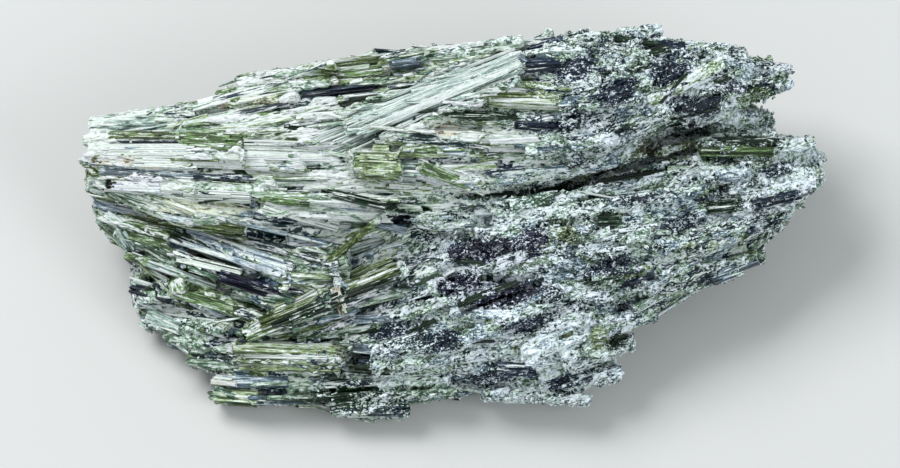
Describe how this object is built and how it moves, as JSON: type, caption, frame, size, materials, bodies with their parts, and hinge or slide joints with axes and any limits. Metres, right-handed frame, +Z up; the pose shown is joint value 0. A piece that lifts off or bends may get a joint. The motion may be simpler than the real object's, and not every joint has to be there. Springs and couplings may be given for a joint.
{
  "type": "actinolite crystal",
  "caption": "Bladed actinolite crystal cluster in one solid, long parallel laths at one end and a granular broken mass at the other, lying on a flat break.",
  "frame": {"origin": "on the flat break that the piece lies on, under the centre of its broad bladed face", "axes": "+X along the grain towards the granular end, +Y towards the high back edge, +Z up"},
  "size_m": [0.06, 0.0307, 0.02],
  "materials": {
    "actinolite": "vitreous green to slate laths, frosted white along edges and breaks"
  },
  "bodies": {
    "root": {"actinolite_crystal": "actinolite"}
  },
  "joints": []
}
